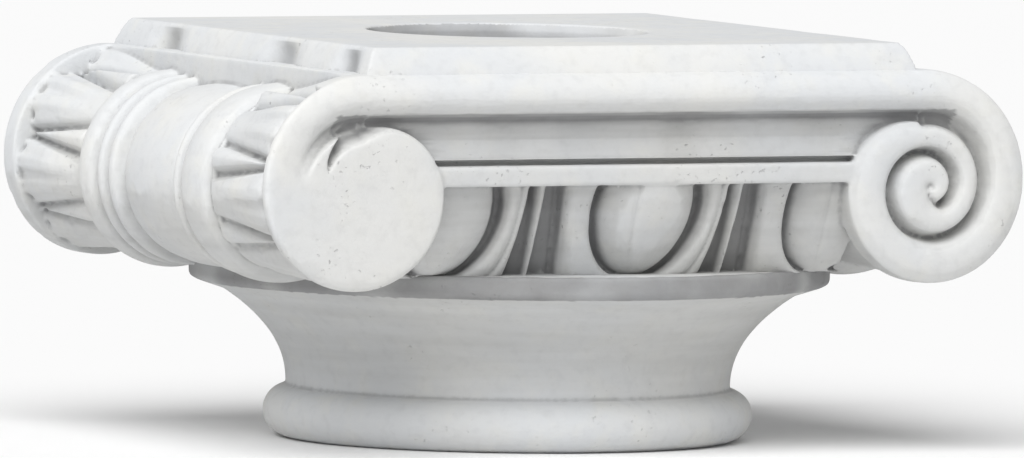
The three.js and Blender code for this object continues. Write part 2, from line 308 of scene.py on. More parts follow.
class Tree:
    """Geometry node tree with named inputs, built in reading order."""

    def __init__(self, name, inputs):
        self.group = bpy.data.node_groups.new(name, "GeometryNodeTree")
        self.group.interface.new_socket("Geometry", in_out="INPUT", socket_type="NodeSocketGeometry")
        self.keys = {}
        for label, kind, value in inputs:
            socket = self.group.interface.new_socket(label, in_out="INPUT", socket_type=kind)
            socket.default_value = value
            self.keys[label] = socket.identifier
        self.group.interface.new_socket("Geometry", in_out="OUTPUT", socket_type="NodeSocketGeometry")
        self.start = self.group.nodes.new("NodeGroupInput")
        self.end = self.group.nodes.new("NodeGroupOutput")

    def node(self, kind, settings=None, **sockets):
        return add_node(self.group, kind, settings, sockets)

    def maths(self, operation, first, second=0.0):
        return self.node("ShaderNodeMath", {"operation": operation}, i0=first, i1=second).outputs[0]

    def finish(self, geometry, material):
        real = self.node("GeometryNodeRealizeInstances", Geometry=geometry).outputs[0]
        painted = self.node("GeometryNodeSetMaterial", Geometry=real, Material=material).outputs[0]
        self.group.links.new(painted, self.end.inputs[0])


def bent_row_tree(material):
    inputs = [
        ("Copies", "NodeSocketInt", 3),
        ("Pitch", "NodeSocketFloat", 0.1),
        ("Bend radius", "NodeSocketFloat", 0.1),
    ]
    tree = Tree("bent row", inputs)
    copies, pitch, bend = (tree.start.outputs[label] for label in ("Copies", "Pitch", "Bend radius"))
    first = tree.maths("MULTIPLY", tree.maths("MULTIPLY", tree.maths("SUBTRACT", copies, 1.0), pitch), -0.5)
    start = tree.node("ShaderNodeCombineXYZ", X=first).outputs[0]
    step = tree.node("ShaderNodeCombineXYZ", X=pitch).outputs[0]
    line = tree.node("GeometryNodeMeshLine", Count=copies, Start_Location=start, Offset=step)
    placed = tree.node("GeometryNodeInstanceOnPoints", Points=line.outputs[0], Instance=tree.start.outputs[0])
    row = tree.node("GeometryNodeRealizeInstances", Geometry=placed.outputs[0]).outputs[0]
    place = tree.node("ShaderNodeSeparateXYZ", Vector=tree.node("GeometryNodeInputPosition").outputs[0])
    turn = tree.maths("DIVIDE", place.outputs[0], bend)
    around = tree.maths("MULTIPLY", tree.maths("SINE", turn), place.outputs[1])
    outward = tree.maths("MULTIPLY", tree.maths("COSINE", turn), place.outputs[1])
    bent = tree.node("ShaderNodeCombineXYZ", X=around, Y=outward, Z=place.outputs[2]).outputs[0]
    moved = tree.node("GeometryNodeSetPosition", Geometry=row, Position=bent).outputs[0]
    tree.finish(moved, material)
    return tree


def grown(name, source, tree, **values):
    """Runs a tree on a piece and keeps the result as a plain mesh under a new name."""
    grower = source.modifiers.new("grow", "NODES")
    grower.node_group = tree.group
    for label, value in values.items():
        grower[tree.keys[label.replace("_", " ")]] = value
    evaluated = source.evaluated_get(bpy.context.evaluated_depsgraph_get())
    mesh = bpy.data.meshes.new_from_object(evaluated)
    source.modifiers.remove(grower)
    return link_mesh(name, mesh)


def reshaped(piece, rule):
    """Moves every point of a piece by a rule on its (points, 3) array."""
    count = len(piece.data.vertices)
    places = np.empty(count * 3)
    piece.data.vertices.foreach_get("co", places)
    piece.data.vertices.foreach_set("co", rule(places.reshape(count, 3)).ravel())
    piece.data.update()
    return piece


def copied(piece, name):
    return link_mesh(name, piece.data.copy())


def dropped(piece):
    bpy.data.objects.remove(piece, do_unlink=True)


# %% Rows of eggs at the front and the back
stone = bpy.data.materials.new("stone")
bent_row = bent_row_tree(stone)


def egg_rows():
    front = grown("eggs_front", unit, bent_row, Copies=EGGS_ACROSS, Pitch=EGG_PITCH,
                  Bend_radius=ECHINUS_FRONT_RADIUS)
    shift = ECHINUS_PROJECTION - ECHINUS_FRONT_RADIUS
    reach = [ROW_REACH, 1, 1]
    reshaped(front, lambda p: np.clip(p * [1, -1, 1] + [ROW_SHIFT, -shift, 0], np.negative(reach), reach))
    back = reshaped(copied(front, "eggs_back"), lambda p: p * [-1, -1, 1])
    dropped(unit)
    return [report(face_outward(piece)) for piece in (front, back)]


eggs = egg_rows()

# %% [markdown]
# The straight front
#
# Above the eggs run a plain band, a narrow quirk, the hollow channel and the roll. They are one
# moulding of constant section from volute to volute, so they are one section drawn in depth and
# height, carried along X. The same stone has it at the back, and the core between belongs to it.

# %% Straight block with channel and roll
BAND_SETBACK = 3.6 * MM
QUIRK_DEPTH = 14 * MM
CHANNEL_LIP = 7.5 * MM
CHANNEL_DEPTH = 15 * MM
ROLL_DEPTH = 14 * MM
ROLL_SETBACK = 0.8 * MM
ROLL_SHOULDER = 4 * MM


def arc_points(centre, radii, from_degrees, to_degrees, steps):
    angles = np.radians(np.linspace(from_degrees, to_degrees, steps))
    return [(centre[0] + radii[0] * math.cos(a), centre[1] + radii[1] * math.sin(a)) for a in angles]


def front_section():
    """Depth from the middle and height, from the band up to the roll's shoulder."""
    band_face = FACE_DEPTH - BAND_SETBACK
    channel_face = band_face - QUIRK_DEPTH
    roll_back = FACE_DEPTH - ROLL_SETBACK - ROLL_DEPTH
    channel_middle = (FACE_DEPTH - CHANNEL_LIP, (CHANNEL_BOTTOM + ROLL_BOTTOM) / 2)
    channel_radii = (CHANNEL_DEPTH - CHANNEL_LIP, CHANNEL_HEIGHT / 2)
    roll_middle = (roll_back, (ROLL_BOTTOM + ROLL_TOP) / 2)
    edge = 2 * MM
    section = arc_points((band_face - edge, ECHINUS_TOP + edge), (edge, edge), -90, 0, 5)
    section += arc_points((band_face - edge, BAND_TOP - edge), (edge, edge), 0, 90, 5)
    section += [(channel_face, BAND_TOP + 0.6 * MM), (channel_face, CHANNEL_BOTTOM - 0.6 * MM)]
    section += arc_points(channel_middle, channel_radii, -90, -215, 24)
    section += [(FACE_DEPTH - CHANNEL_DEPTH, ROLL_BOTTOM - 1 * MM)]
    section += arc_points(roll_middle, (ROLL_DEPTH, ROLL_HEIGHT / 2), -84, 84, 30)
    section += [(roll_back - ROLL_SHOULDER, ROLL_TOP)]
    return section


def straight_block(name, section, reach):
    outline = [(-depth, height) for depth, height in section] + section[::-1]
    rings = [[(x, y, z) for y, z in outline] for x in np.linspace(-reach, reach, 60)]
    return report(skin_rings(name, rings))


BAND_REACH = 157 * MM
LIP_REACH = 169 * MM
whole_section = front_section()


def section_above(height):
    start = [(FACE_DEPTH - CHANNEL_DEPTH - BAND_SETBACK, BAND_TOP)]
    return start + [point for point in whole_section if point[1] > height]


block = straight_block("straight_block", whole_section, BAND_REACH)
lip_ends = straight_block("lip_ends", section_above(CHANNEL_BOTTOM + 2 * MM), LIP_REACH)
channel_ends = straight_block("channel_ends", section_above(CHANNEL_BOTTOM + CHANNEL_HEIGHT / 2), EYE_OFFSET)

# %% [markdown]
# Volutes
#
# The roll doesn't stop at the ends: it turns down and coils in towards the eye. The real thing is
# cut into the face of a disc with a gouge that follows one spiral line, and the dark line between
# two coils is simply that cut. So the disc is a fan of points round the eye, and each point is set
# back by its distance from the spiral: deep in the cut, rounded between two turns of it.

# %% Lines of the volute, as radii about the eye at so many turns
RIM_FALL = 34 * MM
RIM_SLOWING = 12 * MM
GROOVE_START_RADIUS = 47.5 * MM
GROOVE_FALL = 26.4 * MM
GROOVE_SLOWING = 2.2 * MM
GROOVE_HALF_START = 5.2 * MM
GROOVE_HALF_LATER = 2.9 * MM
GROOVE_END_TURN = 1.42
GROOVE_FADE = 0.16
COIL_EDGE_POWER = 1.4
RIM_TURNS = 0.75
PLATE_THICKNESS = 23 * MM


def rim_radius(turns):
    return VOLUTE_TOP_RADIUS - RIM_FALL * turns + RIM_SLOWING * turns**2


def groove_radius(turns):
    """The spiral cut, closing on the eye once it has faded out."""
    closing = min(1.0, max(0.0, (GROOVE_END_TURN + GROOVE_FADE - turns) / GROOVE_FADE))
    return (GROOVE_START_RADIUS - GROOVE_FALL * turns + GROOVE_SLOWING * turns**2) * closing


def disc_edge(turns):
    """Rim for three quarters of a turn, then the coil's edge under the channel."""
    if turns <= RIM_TURNS:
        return rim_radius(max(0.0, turns))
    share = (turns - RIM_TURNS) / (1 - RIM_TURNS)
    start, end = rim_radius(RIM_TURNS), groove_radius(0) - GROOVE_HALF_START
    return start + (end - start) * share**COIL_EDGE_POWER


def around_eye(radius, turns):
    angle = 2 * math.pi * turns
    return radius * math.sin(angle), radius * math.cos(angle)


# %% Relief of the coiled face and of the bare one
GROOVE_DEPTH = 12.5 * MM
COILED_MOST = GROOVE_DEPTH + 4 * MM
ROLL_BLEND_TURNS = 0.24
FACE_DOME = 1.6 * MM
COIL_ROUNDING_START = 7 * MM
COIL_ROUNDING_LATER = 5 * MM
CRESCENT_RADIUS = 42.5 * MM
CRESCENT_FALL = 72 * MM
CRESCENT_FALL_BEFORE = 175 * MM
CRESCENT_START_TURN = -0.16
CRESCENT_END_TURN = 0.165
CRESCENT_HALF = 5.5 * MM
CRESCENT_DEPTH = 14 * MM
CRESCENT_MOST = 15.2 * MM


def eased(turns, start, later, over=0.4):
    share = min(1.0, max(0.0, turns / over))
    return start + (later - start) * share


def roll_relief(radius):
    """The roll's own round section and the channel under it, so that the disc takes them on."""
    away = min(1.0, abs(radius - VOLUTE_TOP_RADIUS + ROLL_HEIGHT / 2) / (ROLL_HEIGHT / 2))
    return ROLL_SETBACK + ROLL_DEPTH * (1 - math.sqrt(1 - away**2))


def taken_on(radius, turns, depth):
    """Runs from the roll's section at the top of the disc to its own relief."""
    if radius < GROOVE_START_RADIUS - GROOVE_HALF_START:
        return depth
    share = min(1.0, max(0.0, turns / ROLL_BLEND_TURNS))
    share = share * share * (3 - 2 * share)
    return roll_relief(radius) * (1 - share) + depth * share


def coiled_relief(radius, turns):
    """How far the coiled face lies behind its crests."""
    lines = [disc_edge(turns), groove_radius(turns), groove_radius(turns + 1), 0.0]
    depth = 0.0
    for place, (outer, inner) in enumerate(zip(lines, lines[1:])):
        if inner <= radius <= outer and outer - inner > 1 * MM:
            across = abs(2 * (radius - inner) / (outer - inner) - 1)
            rounding = eased(turns + place, COIL_ROUNDING_START, COIL_ROUNDING_LATER)
            depth = rounding * across**2.4 * (1 if inner > 0 else across)
    for place, line in enumerate(lines[1:3]):
        far_along = turns + place
        fade = min(1.0, max(0.0, (GROOVE_END_TURN + 0.06 - far_along) / 0.12))
        half = eased(far_along, GROOVE_HALF_START, GROOVE_HALF_LATER)
        depth += GROOVE_DEPTH * fade * math.exp(-(((radius - line) / half) ** 2))
    return taken_on(radius, turns, min(depth, COILED_MOST))


def bare_relief(radius, turns):
    """The bare face: a faint dome, with the start of the cut as a crescent under the roll."""
    depth = taken_on(radius, turns, FACE_DOME * (radius / disc_edge(turns)) ** 4)
    for far_along in (turns, turns - 1):
        if CRESCENT_START_TURN < far_along < CRESCENT_END_TURN:
            left = min(1.0, (CRESCENT_END_TURN - far_along) / CRESCENT_END_TURN)
            line = CRESCENT_RADIUS - (CRESCENT_FALL if far_along > 0 else CRESCENT_FALL_BEFORE) * far_along
            half = CRESCENT_HALF * left + 0.8 * MM
            depth += CRESCENT_DEPTH * left**0.4 * math.exp(-(((radius - line) / half) ** 4))
    return min(depth, CRESCENT_MOST)


# %% Discs with their edges, stood up at the four corners
DISC_ROUND_STEPS = 420
DISC_ACROSS_STEPS = 84
DISC_EDGE_ROUND = 3 * MM
DISC_WRAP = 0.018
BARE_DISC_THICKNESS = 9 * MM
THIN_FROM_TURN = 0.06
HUB_RADIUS = 54 * MM
HUB_DEPTH = 24 * MM


def volute_disc(name, relief, thickness):
    """Disc about the eye: x outward, y depth behind the face, z up."""
    turns_round = np.append(-DISC_WRAP, np.linspace(-DISC_WRAP + 1e-4, 0.968, DISC_ROUND_STEPS))
    flat_edges = [disc_edge(turns) - DISC_EDGE_ROUND for turns in turns_round]
    flat_edges[0] = flat_edges[-1]
    rings = []
    for most in np.linspace(0.6 * MM, VOLUTE_TOP_RADIUS - DISC_EDGE_ROUND, DISC_ACROSS_STEPS):
        ring = []
        for turns, edge in zip(turns_round, flat_edges):
            radius = min(most, edge)
            x, z = around_eye(radius, turns)
            ring.append((x, relief(radius, turns), z))
        rings.append(ring)
    crest = rings[-1]
    for tilt in np.radians((30, 60, 90)):
        ring = []
        for turns, edge, (_, depth, _) in zip(turns_round, flat_edges, crest):
            x, z = around_eye(edge + DISC_EDGE_ROUND * math.sin(tilt), turns)
            ring.append((x, depth + DISC_EDGE_ROUND * (1 - math.cos(tilt)), z))
        rings.append(ring)
    beside_leaves = [THIN_FROM_TURN < turns < RIM_TURNS for turns in turns_round]
    backs = [thickness if beside else PLATE_THICKNESS for beside in beside_leaves]
    rings.append([(x, back, z) for (x, _, z), back in zip(rings[-1], backs)])
    hub = [around_eye(HUB_RADIUS, turns) for turns in turns_round]
    rings.append([(x, HUB_DEPTH, z) for x, z in hub])
    return report(skin_rings(name, rings))


def placed_volute(disc, side, front):
    name = f"{disc.name}_{'right' if side > 0 else 'left'}_{'front' if front > 0 else 'back'}"
    move = np.array([side * EYE_OFFSET, -front * FACE_DEPTH, EYE_HEIGHT])
    return face_outward(reshaped(copied(disc, name), lambda p: p * [side, front, 1] + move))


coiled_disc = volute_disc("coiled_disc", coiled_relief, PLATE_THICKNESS)
bare_disc = volute_disc("bare_disc", bare_relief, BARE_DISC_THICKNESS)
volutes = []
for front in (1, -1):
    for side in (1, -1):
        bare = front == 1 and side == -1
        volutes.append(placed_volute(bare_disc if bare else coiled_disc, side, front))
dropped(coiled_disc)
dropped(bare_disc)
print("volutes:", len(volutes))

# %% [markdown]
# Bolsters
#
# From the side a volute is the end of a barrel, the bolster. Its middle is a plain swelling belt
# between fine fillets and two rings. It is a turned form lying along Y, so it is again one
# profile swept round an axis.

# %% Belt and rings
BELT_RADIUS = 62.5 * MM
BELT_HALF_WIDTH = 40 * MM
BELT_SWELL = 3 * MM
RINGS_FRONT = [(3, 61), (3, 61.5), (14, 65.5), (44, 68)]
RINGS_BACK = [(5, 59), (17, 64.5), (15, 65.5), (27, 68)]
RING_GROOVE_DEPTH = 7.5 * MM
RING_ROUNDING = 4 * MM
WIDE_RING = 14 * MM
RING_GROOVE_HALF = 2.3 * MM
LEAF_ROOT_RADIUS = 57 * MM
LEAF_START = 106 * MM
BOLSTER_ROUND_STEPS = 220


def ring_section(start, width, radius):
    """A convex ring with a sharp narrow groove at each side."""
    points = []
    rounding = RING_ROUNDING * min(1.0, width / WIDE_RING)
    for share in np.linspace(0.0, 1.0, 22):
        across = abs(2 * share - 1)
        from_side = min(share, 1 - share) * width
        groove = RING_GROOVE_DEPTH * math.exp(-((from_side / RING_GROOVE_HALF) ** 2))
        points.append((start + width * share, radius - rounding * across**2 - groove))
    return points


def half_profile(rings):
    """Distance from the middle of the bolster and radius, for one half."""
    profile = []
    for share in np.linspace(0, 1, 30):
        profile.append((BELT_HALF_WIDTH * share * 0.985, BELT_RADIUS - BELT_SWELL * share**2))
    start = BELT_HALF_WIDTH
    for width, radius in rings:
        profile += ring_section(start, width * MM, radius * MM)
        start += width * MM + 0.3 * MM
    profile.append((start + 1 * MM, LEAF_ROOT_RADIUS))
    profile.append((FACE_DEPTH - HUB_DEPTH + 4 * MM, LEAF_ROOT_RADIUS))
    return profile


def bolster_barrel(side):
    stations = [(-away, radius) for away, radius in half_profile(RINGS_FRONT)[:0:-1]]
    stations += half_profile(RINGS_BACK)
    angles = np.linspace(0, 2 * np.pi, BOLSTER_ROUND_STEPS, endpoint=False)
    rings = [
        np.stack([side * EYE_OFFSET + radius * np.cos(angles), np.full_like(angles, y),
                  EYE_HEIGHT + radius * np.sin(angles)], axis=-1)
        for y, radius in stations
    ]
    return report(skin_rings("barrel_right" if side > 0 else "barrel_left", rings))


barrels = [bolster_barrel(side) for side in (1, -1)]

# %% [markdown]
# Leaves
#
# Between the rings and each volute stands a collar of leaves: broad ribbed ones whose tips curl
# up and end in a ragged edge, with a plain pointed wedge in each gap. One broad leaf and one
# wedge make a unit, carved flat, and the same bent row wraps seven units round the barrel. The
# collar is then drawn out to the rim, which is further from the eye above than below.

# %% One leaf unit
LEAVES_ROUND = 7
LEAF_RELIEF = 11 * MM
LEAF_PITCH = 2 * math.pi * LEAF_ROOT_RADIUS / LEAVES_ROUND
LEAF_LENGTH = FACE_DEPTH - LEAF_START - BARE_DISC_THICKNESS + 1 * MM
LEAF_SINK = 4 * MM
WEDGE_HALF = 0.20
LEAF_LOBES = 3
LEAF_STEP = 0.06
LEAF_CREASE = 0.46
LEAF_CREASE_HALF = 0.048
LEAF_SOFTENING = 14


def leaf_relief(across, along):
    """Height at shares across the pitch (-0.5 to 0.5) and along the leaf (0 ring, 1 tip)."""
    wedge_half = WEDGE_HALF * max(0.0, 1 - along / 0.97) ** 0.85 + 0.004
    leaf_half = 0.5 - wedge_half
    share = across / leaf_half
    lobe = np.abs(((share * LEAF_LOBES / 2 + 0.5) % 1) - 0.5) * 2
    tip = 0.955 - 0.07 * np.abs(share) ** 1.5 - 0.07 * (1 - lobe) ** 1.5
    body = bump_across(np.abs(share) ** 1.2, 1.0, 2.4)
    lift = 0.40 + 0.60 * np.sin(np.pi / 2 * np.clip(along / 0.85, 0, 1)) ** 1.5
    valleys = 0.26 * (1 - lobe) ** 1.8 * np.clip(along * 1.8, 0, 1)
    veins = 0.05 * np.cos(share * LEAF_LOBES * 3 * np.pi) * np.clip(along * 1.5, 0, 1)
    over = 1 / (1 + np.exp(np.clip((along - tip) / 0.016, -30, 30)))
    broad = body * (lift - valleys + veins) * over
    from_wedge = 0.5 - np.abs(across)
    ridge = 1 - np.clip(from_wedge / max(wedge_half, 1e-4), 0, 1)
    inside = np.clip((wedge_half - from_wedge) / LEAF_STEP + 0.5, 0, 1)
    inside = inside * np.clip((0.93 - along) / LEAF_STEP, 0, 1)
    wedge = (0.34 + 0.28 * ridge) * inside
    crease = LEAF_CREASE * np.exp(-(((from_wedge - wedge_half) / LEAF_CREASE_HALF) ** 2))
    crease = crease * np.clip((0.97 - along) / LEAF_STEP, 0, 1)
    return LEAF_RELIEF * (np.maximum(broad, wedge) - crease)


def leaf_unit():
    across = np.linspace(-0.5, 0.5, 161)
    relief = np.array([leaf_relief(across, along) for along in np.linspace(0, 1, 120)])
    for _ in range(LEAF_SOFTENING):
        relief[:, 1:-1] = (relief[:, :-2] + 2 * relief[:, 1:-1] + relief[:, 2:]) / 4
    rings = []
    for along, heights in zip(np.linspace(0, 1, 120), relief):
        height = LEAF_ROOT_RADIUS + heights
        face = np.stack([across * LEAF_PITCH, height, np.full_like(across, along * LEAF_LENGTH)], axis=-1)
        back = face[::-1].copy()
        back[:, 1] = LEAF_ROOT_RADIUS - LEAF_SINK
        rings.append(np.vstack([face, back]))
    return report(skin_rings("leaf_unit", rings))


leaf = leaf_unit()

# %% Collars of leaves
LEAF_COLLAR_TURN = math.radians(31)
LEAF_TO_RIM = 2.5 * MM


def leaf_collars():
    ring = grown("collar", leaf, bent_row, Copies=LEAVES_ROUND, Pitch=LEAF_PITCH,
                 Bend_radius=LEAF_ROOT_RADIUS)
    collars = []
    for side in (1, -1):
        for end in (1, -1):
            where = f"{'right' if side > 0 else 'left'}_{'back' if end > 0 else 'front'}"
            collar = copied(ring, f"leaves_{where}")

            def stand(p):
                angle = np.arctan2(p[:, 1], p[:, 0]) + np.pi / 2 - LEAF_COLLAR_TURN
                radius = np.hypot(p[:, 0], p[:, 1])
                turns = (angle / (2 * np.pi)) % 1.0
                reach = np.array([disc_edge(t) for t in turns]) - LEAF_TO_RIM
                stretch = (reach - LEAF_ROOT_RADIUS) / LEAF_RELIEF
                inward = np.clip((np.cos(angle + np.pi / 2) - 0.15) / 0.35, 0, 1)
                raised = np.where(radius > LEAF_ROOT_RADIUS, (radius - LEAF_ROOT_RADIUS) * stretch, 0)
                drawn = np.minimum(radius, LEAF_ROOT_RADIUS) + raised * (1 - inward)
                x, z = drawn * np.sin(angle), drawn * np.cos(angle)
                length = np.where(turns > RIM_TURNS + 0.03, LEAF_LENGTH - CHANNEL_DEPTH + 4 * MM, LEAF_LENGTH)
                y = LEAF_START + np.minimum(p[:, 2], length)
                return np.stack([side * (EYE_OFFSET + x), end * y, EYE_HEIGHT + z], axis=-1)

            collars.append(face_outward(reshaped(collar, stand)))
    dropped(ring)
    dropped(leaf)
    return collars


collars = leaf_collars()
print("leaf collars:", len(collars), "pitch", round(LEAF_PITCH, 4), "length", round(LEAF_LENGTH, 4))

# %% [markdown]
# The abacus
#
# The square slab on top spreads a little as it goes down, and its left and right sides carry soft
# uneven hollows. On top is a shallow round recess. Level outlines from the skirt up to the top
# edge, then round ones from the recess's lip down to its floor, make it in one skin.

# %% Abacus with its recess
ABACUS_HALF = 198.5 * MM
ABACUS_HEIGHT = 29 * MM
ABACUS_SPREAD = 10 * MM
ABACUS_SKIRT = 10 * MM
HOLLOW_DEPTH = 7 * MM
HOLLOW_AT_TOP = 0.25
HOLLOWS = [(121 * MM, 36 * MM), (-64 * MM, 40 * MM), (-168 * MM, 27 * MM)]
RECESS_RADIUS = 96 * MM
RECESS_DEPTH = 9 * MM
RECESS_OFFSET = -4 * MM
ABACUS_BOTTOM = CAPITAL_HEIGHT - ABACUS_HEIGHT
ABACUS_ROUND_STEPS = 1200


def side_hollow(y):
    sink = np.zeros_like(y)
    for place, half in HOLLOWS:
        share = np.clip(np.abs(y - place) / half, 0, 1)
        sink = np.maximum(sink, HOLLOW_DEPTH * (0.5 + 0.5 * np.cos(np.pi * share)))
    return sink


def square_ring(half, height, hollow_share, angles):
    reach = half / np.maximum(np.abs(np.cos(angles)), np.abs(np.sin(angles)))
    x, y = reach * np.cos(angles), reach * np.sin(angles)
    on_side = np.abs(np.abs(x) - half) < 1e-9
    x = np.where(on_side, np.sign(x) * (half - side_hollow(y) * hollow_share), x)
    return np.stack([x, y, np.full_like(x, height)], axis=-1)


def abacus():
    angles = np.linspace(0, 2 * np.pi, ABACUS_ROUND_STEPS, endpoint=False) + 1e-4
    rings = [square_ring(ABACUS_HALF + ABACUS_SPREAD, ABACUS_BOTTOM - ABACUS_SKIRT, 0.0, angles)]
    for share in np.linspace(0, 0.96, 26):
        half = ABACUS_HALF + ABACUS_SPREAD * (1 - share**1.8)
        hollow_share = max(HOLLOW_AT_TOP * share, math.sin(math.pi * share**0.85) ** 0.8)
        rings.append(square_ring(half, ABACUS_BOTTOM + ABACUS_HEIGHT * share, hollow_share, angles))
    edge = 1.2 * MM
    rings.append(square_ring(ABACUS_HALF - 0.3 * MM, CAPITAL_HEIGHT - 0.6 * MM, HOLLOW_AT_TOP, angles))
    rings.append(square_ring(ABACUS_HALF - edge, CAPITAL_HEIGHT, HOLLOW_AT_TOP, angles))
    for blend in (0.35, 0.7):
        outer = square_ring(ABACUS_HALF, CAPITAL_HEIGHT, HOLLOW_AT_TOP, angles)
        inner = recess_ring(RECESS_RADIUS + 2 * MM, CAPITAL_HEIGHT, angles)
        rings.append(outer * (1 - blend) + inner * blend)
    wall = ((-2 * MM, 0.0), (0.0, 1 * MM), (1.5 * MM, 4 * MM), (3 * MM, RECESS_DEPTH - 1 * MM),
            (6 * MM, RECESS_DEPTH), (RECESS_RADIUS / 2, RECESS_DEPTH), (RECESS_RADIUS - 4 * MM, RECESS_DEPTH))
    for inward, depth in wall:
        rings.append(recess_ring(RECESS_RADIUS - inward, CAPITAL_HEIGHT - depth, angles))
    return report(skin_rings("abacus", rings))


def recess_ring(radius, height, angles):
    return np.stack([RECESS_OFFSET + radius * np.cos(angles), radius * np.sin(angles),
                     np.full_like(angles, height)], axis=-1)


slab = abacus()

# %% [markdown]
# One skin for the carving
#
# The forms overlap, as blocks roughed out of one stone do. A voxel remesh walks over all of them
# at once and leaves a single closed skin, and its small voxels soften each inner corner just as
# a chisel and a few centuries of rain do. The plain turned neck and the slab keep skins of their
# own, so that most of the points go to the carving.

# %% Fuse the forms
VOXEL = 1.3 * MM


def joined(name, pieces):
    shell = bmesh.new()
    for piece in pieces:
        shell.from_mesh(piece.data)
        dropped(piece)
    mesh = bpy.data.meshes.new(name)
    shell.to_mesh(mesh)
    shell.free()
    return link_mesh(name, mesh)


def applied(piece, kind, **settings):
    """Runs one modifier on a piece and keeps the result in its mesh."""
    modifier = piece.modifiers.new(kind.lower(), kind)
    for key, value in settings.items():
        setattr(modifier, key, value)
    evaluated = piece.evaluated_get(bpy.context.evaluated_depsgraph_get())
    mesh = bpy.data.meshes.new_from_object(evaluated)
    piece.modifiers.clear()
    piece.data = mesh
    return report(piece)


def fused(name, forms):
    return applied(joined(name, forms), "REMESH", mode="VOXEL", voxel_size=VOXEL, adaptivity=0.0,
                   use_smooth_shade=True)


carved_forms = [block, lip_ends, channel_ends] + eggs + volutes + barrels + collars
carved = fused("carved_volutes_and_eggs", carved_forms)
turned = fused("turned_neck_and_disc", [neck])
abacus_slab = fused("abacus_slab", [slab])

# %% [markdown]
# Wear
#
# Old stone is soft at its outer edges and crisp in its hollows. To tell them apart, each point is
# set against a smoothed copy of the skin: where the skin stands outside the copy the edge is
# sharp, and is worn back, and where it lies inside there is a hollow, which keeps its line. The
# same measure is stored on the points, so that the finish can paint shade into the hollows.

# %% Smoothing and noise
def point_array(mesh, kind="co"):
    values = np.empty(len(mesh.vertices) * 3)
    mesh.vertices.foreach_get(kind, values)
    return values.reshape(-1, 3)


def smoothed_places(piece, rounds):
    smoother = piece.modifiers.new("smooth", "SMOOTH")
    smoother.factor = 0.5
    smoother.iterations = rounds
    evaluated = piece.evaluated_get(bpy.context.evaluated_depsgraph_get())
    places = point_array(evaluated.data)
    piece.modifiers.clear()
    return places


def stone_noise(places, size, seed):
    """Smooth noise from 0 to 1 that changes over about the given size."""
    cells = (places - places.min(axis=0)) / size
    corner = np.floor(cells).astype(int)
    part = cells - corner
    part = part * part * (3 - 2 * part)
    lattice = np.random.default_rng(seed).random(corner.max(axis=0) + 2)
    total = np.zeros(len(places))
    for step in np.ndindex(2, 2, 2):
        weight = np.prod(np.where(step, part, 1 - part), axis=1)
        total += weight * lattice[tuple((corner + step).T)]
    return total


# %% Wear the edges and store the hollows
EDGE_SCALE = 4 * MM
SOFTENING = 0.45
UNEVENNESS = 0.5 * MM
CHIP_DEPTH = 2.2 * MM
CHIP_SIZE = 14 * MM
WEAR_PATCH = 22 * MM
SEAT_BAND = 0.6 * MM
HOLLOW_FULL = 1.0 * MM


def worn(piece):
    rounds = int((EDGE_SCALE / VOXEL) ** 2 * 2)
    mesh = piece.data
    mesh.vertices.foreach_set("co", smoothed_places(piece, 2).ravel())
    mesh.update()
    places = point_array(mesh)
    normals = np.empty(len(mesh.vertices) * 3)
    mesh.vertex_normals.foreach_get("vector", normals)
    normals = normals.reshape(-1, 3)
    outside = np.sum((places - smoothed_places(piece, rounds)) * normals, axis=1)
    edge = np.clip(outside, 0, EDGE_SCALE)
    chance = stone_noise(places, WEAR_PATCH, 11)
    back = SOFTENING * edge * (0.5 + chance)
    back += UNEVENNESS * (0.6 * stone_noise(places, 34 * MM, 3) + 0.4 * stone_noise(places, 9 * MM, 5))
    chips = np.clip((stone_noise(places, CHIP_SIZE, 7) - 0.78) / 0.12, 0, 1)
    chips = chips * np.clip(edge / (0.8 * MM), 0, 1)
    back += CHIP_DEPTH * chips
    seat = (places[:, 2] < SEAT_BAND) | (places[:, 2] > CAPITAL_HEIGHT - SEAT_BAND)
    back = np.where(seat, 0.0, back)
    mesh.vertices.foreach_set("co", (places - normals * back[:, None]).ravel())
    # the concave side of this measure drives painted shade in the finish
    hollow = mesh.attributes.new("hollow", "FLOAT", "POINT")
    hollow.data.foreach_set("value", np.clip(-outside / HOLLOW_FULL, -1, 1))
    mesh.update()
    print("worn back at most", round(float(back.max()) / MM, 2), "mm")
    return piece


for piece in (carved, turned, abacus_slab):
    worn(piece)

# %% Thin the skins where they are plain
MOST_TRIANGLES = {carved: 197000, turned: 70000, abacus_slab: 90000}


def thinned(piece, most):
    triangles = sum(len(face.vertices) - 2 for face in piece.data.polygons)
    applied(piece, "TRIANGULATE")
    applied(piece, "DECIMATE", ratio=most / triangles)
    piece.data.polygons.foreach_set("use_smooth", [True] * len(piece.data.polygons))
    piece.data.materials.clear()
    piece.data.materials.append(stone)
    return piece


for piece, most in MOST_TRIANGLES.items():
    thinned(piece, most)

# %% [markdown]
# Shelter from above
#
# Each point looks up along a few slanting rays, and the share that other stone blocks is its
# shelter, which the finish turns into painted shade under overhangs. The rays start just off the
# skin. Painted shade and painted shadow in known places, such as the recess, the channel, the deep
# parts of the egg row and the edge of the disc, are then added to the stored hollow values by a
# rule for each place, in uneven patches.

# %% Measure the shelter of each point
RAIN_SLANTS = [(0.0, 0), (0.5, 0.5), (0.5, 2.6), (0.5, 4.7), (1.1, 1.5), (1.1, 3.6), (1.1, 5.7)]
RAY_LIFT = 1.2 * MM
RAY_LENGTH = 0.35


